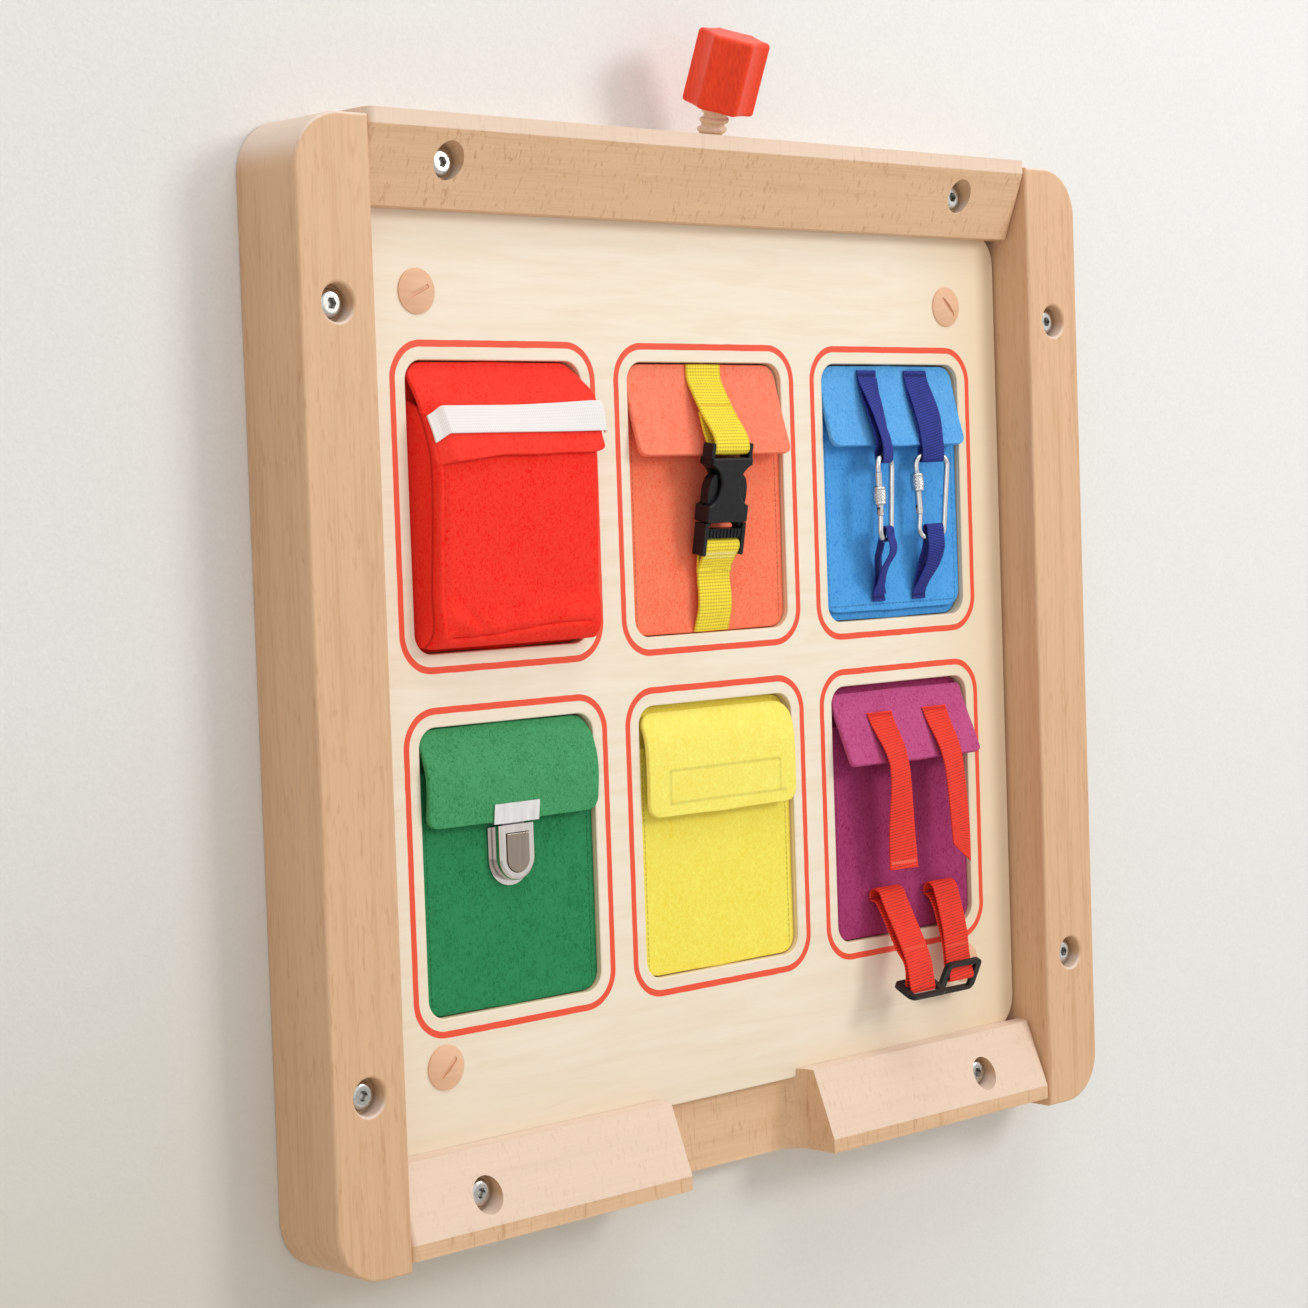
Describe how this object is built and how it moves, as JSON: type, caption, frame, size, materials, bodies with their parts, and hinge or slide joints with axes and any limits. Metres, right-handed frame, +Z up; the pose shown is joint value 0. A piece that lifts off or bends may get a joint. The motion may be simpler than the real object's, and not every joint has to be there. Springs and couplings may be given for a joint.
{
  "type": "wall-mounted dressing skills board",
  "caption": "Framed plywood wall panel with felt wallets closed by elastic, buckle, carabiners, clasp, hook-and-loop and straps, held by a wooden clamp screw.",
  "frame": {"origin": "middle of the four post screws, on the back plane that lies on the wall", "axes": "+X to the right seen from the front, +Y into the wall, +Z up"},
  "size_m": [0.557, 0.104, 0.6006],
  "materials": {
    "beech": "satin lacquered beech",
    "beech_rail": "satin lacquered pale beech",
    "dowel": "plain",
    "knob_paint": "satin stain on wood",
    "thread_wood": "turned and oiled",
    "birch_ply": "satin lacquered birch",
    "backing": "plain",
    "bolt_cover": "satin",
    "steel": "satin",
    "red_felt": "felt",
    "elastic": "fine knit",
    "orange_felt": "felt",
    "yellow_webbing": "woven",
    "black_plastic": "matt",
    "blue_felt": "felt",
    "navy_ribbon": "grosgrain",
    "satin_aluminium": "satin",
    "green_felt": "felt",
    "bright_nickel": "bright",
    "yellow_felt": "felt",
    "yellow_fastener": "hook and loop tape",
    "purple_felt": "felt",
    "red_ribbon": "grosgrain"
  },
  "bodies": {
    "frame": {"left_post": "beech", "right_post": "beech", "top_rail": "beech_rail", "bottom_rail": "beech_rail", "frame_dowels": "dowel", "wall_screws": "steel"},
    "clamp_screw": {"clamp_screw": "thread_wood"},
    "clamp_knob": {"clamp_knob": "knob_paint"},
    "panel": {"activity_panel": "birch_ply", "backing_board": "backing", "panel_nuts": "steel", "panel_bolts": "bolt_cover", "red_pocket": "red_felt", "red_flap": "red_felt", "elastic_band": "elastic", "orange_pocket": "orange_felt", "orange_flap": "orange_felt", "upper_webbing": "yellow_webbing", "lower_webbing": "yellow_webbing", "buckle_socket": "black_plastic", "buckle_plug": "black_plastic", "blue_pocket": "blue_felt", "blue_flap": "blue_felt", "upper_loop_left": "navy_ribbon", "upper_loop_right": "navy_ribbon", "lower_loop_left": "navy_ribbon", "lower_loop_right": "navy_ribbon", "carabiner_left": "satin_aluminium", "carabiner_right": "satin_aluminium", "gate_pins": "steel", "green_pocket": "green_felt", "green_flap": "green_felt", "clasp_plate": "bright_nickel", "clasp_receiver": "bright_nickel", "clasp_spring": "steel", "clasp_backplate": "steel", "yellow_pocket": "yellow_felt", "loop_patch": "yellow_fastener", "purple_pocket": "purple_felt", "short_strap_left": "red_ribbon", "short_strap_right": "red_ribbon"},
    "buckle_prong_left": {"buckle_prong_left": "black_plastic"},
    "buckle_prong_right": {"buckle_prong_right": "black_plastic"},
    "gate_left": {"carabiner_gate_left": "satin_aluminium"},
    "gate_right": {"carabiner_gate_right": "satin_aluminium"},
    "sleeve_left": {"carabiner_sleeve_left": "satin_aluminium"},
    "sleeve_right": {"carabiner_sleeve_right": "satin_aluminium"},
    "clasp_button": {"clasp_button": "bright_nickel"},
    "yellow_flap": {"yellow_flap": "yellow_felt", "hook_patch": "yellow_fastener"},
    "purple_flap": {"purple_flap": "purple_felt", "long_strap_left": "red_ribbon", "long_strap_right": "red_ribbon"},
    "slider_left": {"slider_left": "black_plastic"},
    "slider_right": {"slider_right": "black_plastic"}
  },
  "joints": [
    {"name": "clamp_feed", "type": "slide", "parent": "frame", "child": "clamp_screw", "axis": [0, -0.3907, 0.9205], "range_m": [-0.0074, 0.012]},
    {"name": "clamp_turn", "type": "hinge", "parent": "clamp_screw", "child": "clamp_knob", "pos_m": [0, -0.0284, 0.2735], "axis": [0, -0.3907, 0.9205], "range_deg": [-560, 880]},
    {"name": "panel_lift", "type": "slide", "parent": "frame", "child": "panel", "axis": [0, 0, 1], "range_m": [0, 0.006]},
    {"name": "prong_left_squeeze", "type": "hinge", "parent": "panel", "child": "buckle_prong_left", "pos_m": [-0.0075, -0.0286, 0.08046], "axis": [0, 0.9816, 0.1908], "range_deg": [0, 13], "stiffness_Nm_per_rad": 0.05, "springref_deg": -2.86},
    {"name": "prong_right_squeeze", "type": "hinge", "parent": "panel", "child": "buckle_prong_right", "pos_m": [0.0075, -0.0286, 0.08046], "axis": [0, -0.9816, -0.1908], "range_deg": [0, 13], "stiffness_Nm_per_rad": 0.05, "springref_deg": -2.86},
    {"name": "gate_left_open", "type": "hinge", "parent": "panel", "child": "gate_left", "pos_m": [0.11778, -0.03275, 0.07785], "axis": [-0.3584, 0.9336, 0], "range_deg": [0, 25], "stiffness_Nm_per_rad": 0.03, "springref_deg": -5.73},
    {"name": "sleeve_left_travel", "type": "slide", "parent": "gate_left", "child": "sleeve_left", "axis": [-0.0654, -0.0251, 0.9975], "range_m": [-0.001, 0.01]},
    {"name": "gate_right_open", "type": "hinge", "parent": "panel", "child": "gate_right", "pos_m": [0.1575, -0.02632, 0.07785], "axis": [0.2588, 0.9659, 0], "range_deg": [0, 25], "stiffness_Nm_per_rad": 0.03, "springref_deg": -5.73},
    {"name": "sleeve_right_travel", "type": "slide", "parent": "gate_right", "child": "sleeve_right", "axis": [-0.0677, 0.0181, 0.9975], "range_m": [-0.007, 0.003]},
    {"name": "clasp_press", "type": "slide", "parent": "panel", "child": "clasp_button", "axis": [0, 1, 0], "range_m": [0, 0.0012], "stiffness_N_per_m": 600, "springref_m": -0.0005, "deforming": ["clasp_spring"]},
    {"name": "yellow_flap_open", "type": "hinge", "parent": "panel", "child": "yellow_flap", "pos_m": [0, -0.01585, -0.02265], "axis": [-1, 0, 0], "range_deg": [0, 90]},
    {"name": "purple_flap_open", "type": "hinge", "parent": "panel", "child": "purple_flap", "pos_m": [0.144, -0.01585, -0.02265], "axis": [-1, 0, 0], "range_deg": [-8, 90]},
    {"name": "slider_left_swing", "type": "hinge", "parent": "panel", "child": "slider_left", "pos_m": [0.126, -0.0446, -0.18565], "axis": [-1, 0, 0], "range_deg": [-18, 35]},
    {"name": "slider_right_swing", "type": "hinge", "parent": "panel", "child": "slider_right", "pos_m": [0.171, -0.0338, -0.18615], "axis": [-1, 0, 0], "range_deg": [-40, 7]}
  ],
  "couplings": [
    {"joint": "clamp_turn", "follows": "clamp_feed", "rad_per_m": 1256.6}
  ]
}
